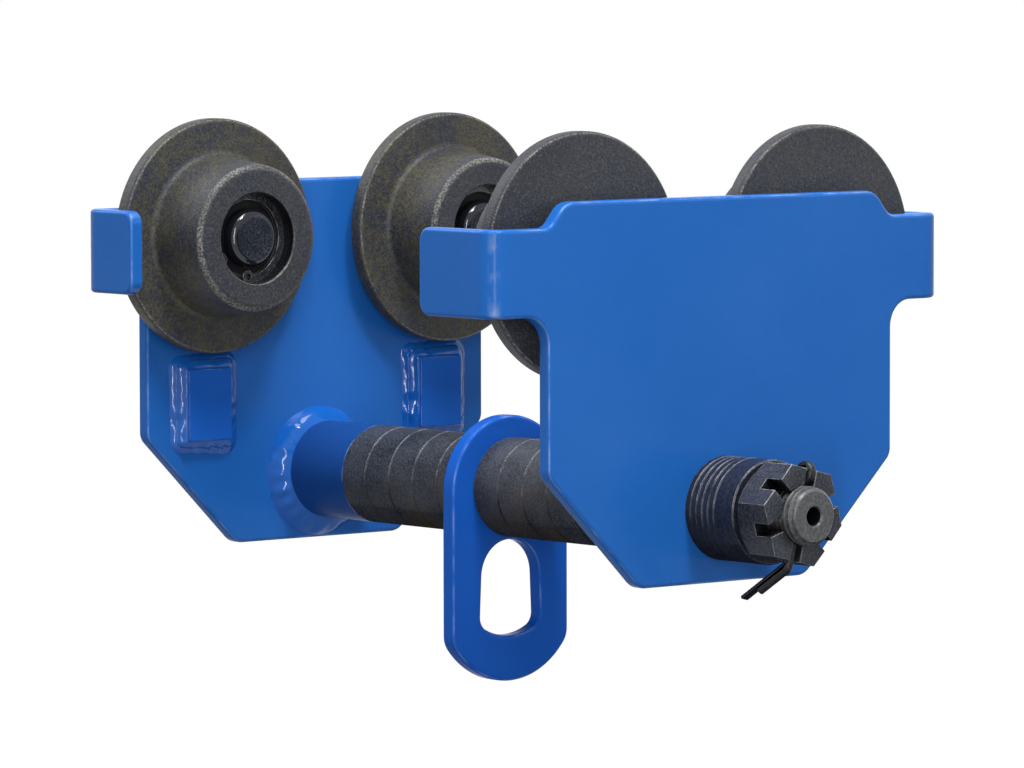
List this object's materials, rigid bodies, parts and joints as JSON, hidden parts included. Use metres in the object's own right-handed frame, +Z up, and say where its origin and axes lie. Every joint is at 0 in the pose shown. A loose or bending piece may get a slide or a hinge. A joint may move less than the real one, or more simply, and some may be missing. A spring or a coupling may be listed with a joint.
{
  "type": "manual beam trolley",
  "caption": "Push trolley that runs on the lower flange of an I-beam on flanged wheels and carries a hoist on a slotted plate hung from a bar between two blue side plates.",
  "frame": {"origin": "on the beam's running surface, midway between the two side plates and between the axles", "axes": "+X along the beam, +Y along the load bar from the castle nut's plate to the boss's plate, +Z up"},
  "size_m": [0.2208, 0.3218, 0.2134],
  "materials": {
    "blue_paint": "gloss blue paint over steel plate",
    "weld_paint": "gloss blue paint over lumpy weld beads",
    "dark_steel": "blackened turned steel with bright edges",
    "bar_steel": "turned steel, threaded, bare and worn at the end",
    "black_steel": "black oxide",
    "wheel_iron": "dark grey-brown, blasted, lighter on its edges",
    "bearing_steel": "ground bearing steel",
    "seal_rubber": "black rubber",
    "spring_steel": "black spring steel"
  },
  "bodies": {
    "boss_side": {"far_side_plate": "blue_paint", "far_boss": "blue_paint", "far_boss_weld": "weld_paint", "far_guard_blocks": "blue_paint", "far_guard_welds": "weld_paint", "far_axle_welds": "weld_paint", "load_bar": "bar_steel", "far_spacer_ring_1": "dark_steel", "far_spacer_ring_2": "dark_steel", "far_spacer_ring_3": "dark_steel", "far_spacer_ring_4": "dark_steel", "far_spacer_ring_5": "dark_steel", "near_spacer_ring_1": "dark_steel", "near_spacer_ring_2": "dark_steel", "near_spacer_ring_3": "dark_steel", "near_spacer_ring_4": "dark_steel", "near_spacer_ring_5": "dark_steel", "near_spacer_ring_6": "dark_steel", "near_spacer_ring_7": "dark_steel", "near_spacer_ring_8": "dark_steel", "thin_washers": "dark_steel", "thick_washer": "dark_steel", "near_castle_nut": "black_steel", "near_split_pin": "black_steel", "far_washer": "dark_steel", "far_castle_nut": "black_steel", "far_split_pin": "black_steel", "far_left_axle_pin": "black_steel", "far_right_axle_pin": "black_steel", "far_left_bearing_inner_race": "bearing_steel", "far_right_bearing_inner_race": "bearing_steel"},
    "nut_side": {"near_side_plate": "blue_paint", "near_guard_blocks": "blue_paint", "near_guard_welds": "weld_paint", "near_axle_welds": "weld_paint", "near_left_axle_pin": "black_steel", "near_right_axle_pin": "black_steel", "near_left_bearing_inner_race": "bearing_steel", "near_right_bearing_inner_race": "bearing_steel"},
    "hanger": {"suspension_plate": "blue_paint"},
    "far_left_wheel_set": {"far_left_wheel": "wheel_iron", "far_left_bearing_outer_race": "bearing_steel", "far_left_bearing_seals": "seal_rubber", "far_left_circlip": "spring_steel"},
    "far_left_ball_set": {"far_left_bearing_balls": "bearing_steel"},
    "far_right_wheel_set": {"far_right_wheel": "wheel_iron", "far_right_bearing_outer_race": "bearing_steel", "far_right_bearing_seals": "seal_rubber", "far_right_circlip": "spring_steel"},
    "far_right_ball_set": {"far_right_bearing_balls": "bearing_steel"},
    "near_left_wheel_set": {"near_left_wheel": "wheel_iron", "near_left_bearing_outer_race": "bearing_steel", "near_left_bearing_seals": "seal_rubber", "near_left_circlip": "spring_steel"},
    "near_left_ball_set": {"near_left_bearing_balls": "bearing_steel"},
    "near_right_wheel_set": {"near_right_wheel": "wheel_iron", "near_right_bearing_outer_race": "bearing_steel", "near_right_bearing_seals": "seal_rubber", "near_right_circlip": "spring_steel"},
    "near_right_ball_set": {"near_right_bearing_balls": "bearing_steel"}
  },
  "joints": [
    {"name": "nut_side_rock", "type": "hinge", "parent": "boss_side", "child": "nut_side", "pos_m": [0, -0.12015, -0.06385], "axis": [0, 1, 0], "range_deg": [-3, 3]},
    {"name": "hanger_swing", "type": "hinge", "parent": "boss_side", "child": "hanger", "pos_m": [0, 0.00215, -0.06385], "axis": [0, 1, 0], "range_deg": [-90, 90]},
    {"name": "far_left_wheel_spin", "type": "hinge", "parent": "boss_side", "child": "far_left_wheel_set", "pos_m": [-0.0577, 0.0942, 0.02975], "axis": [0, 1, 0], "continuous": true},
    {"name": "far_left_ball_spin", "type": "hinge", "parent": "boss_side", "child": "far_left_ball_set", "pos_m": [-0.0577, 0.0942, 0.02975], "axis": [0, 1, 0], "continuous": true},
    {"name": "far_right_wheel_spin", "type": "hinge", "parent": "boss_side", "child": "far_right_wheel_set", "pos_m": [0.0577, 0.0942, 0.02975], "axis": [0, 1, 0], "continuous": true},
    {"name": "far_right_ball_spin", "type": "hinge", "parent": "boss_side", "child": "far_right_ball_set", "pos_m": [0.0577, 0.0942, 0.02975], "axis": [0, 1, 0], "continuous": true},
    {"name": "near_left_wheel_spin", "type": "hinge", "parent": "nut_side", "child": "near_left_wheel_set", "pos_m": [-0.0577, -0.0942, 0.02975], "axis": [0, 1, 0], "continuous": true},
    {"name": "near_left_ball_spin", "type": "hinge", "parent": "nut_side", "child": "near_left_ball_set", "pos_m": [-0.0577, -0.0942, 0.02975], "axis": [0, 1, 0], "continuous": true},
    {"name": "near_right_wheel_spin", "type": "hinge", "parent": "nut_side", "child": "near_right_wheel_set", "pos_m": [0.0577, -0.0942, 0.02975], "axis": [0, 1, 0], "continuous": true},
    {"name": "near_right_ball_spin", "type": "hinge", "parent": "nut_side", "child": "near_right_ball_set", "pos_m": [0.0577, -0.0942, 0.02975], "axis": [0, 1, 0], "continuous": true}
  ],
  "couplings": [
    {"joint": "far_left_ball_spin", "follows": "far_left_wheel_spin", "ratio": 0.619},
    {"joint": "far_right_ball_spin", "follows": "far_right_wheel_spin", "ratio": 0.619},
    {"joint": "near_left_ball_spin", "follows": "near_left_wheel_spin", "ratio": 0.619},
    {"joint": "near_right_ball_spin", "follows": "near_right_wheel_spin", "ratio": 0.619}
  ]
}
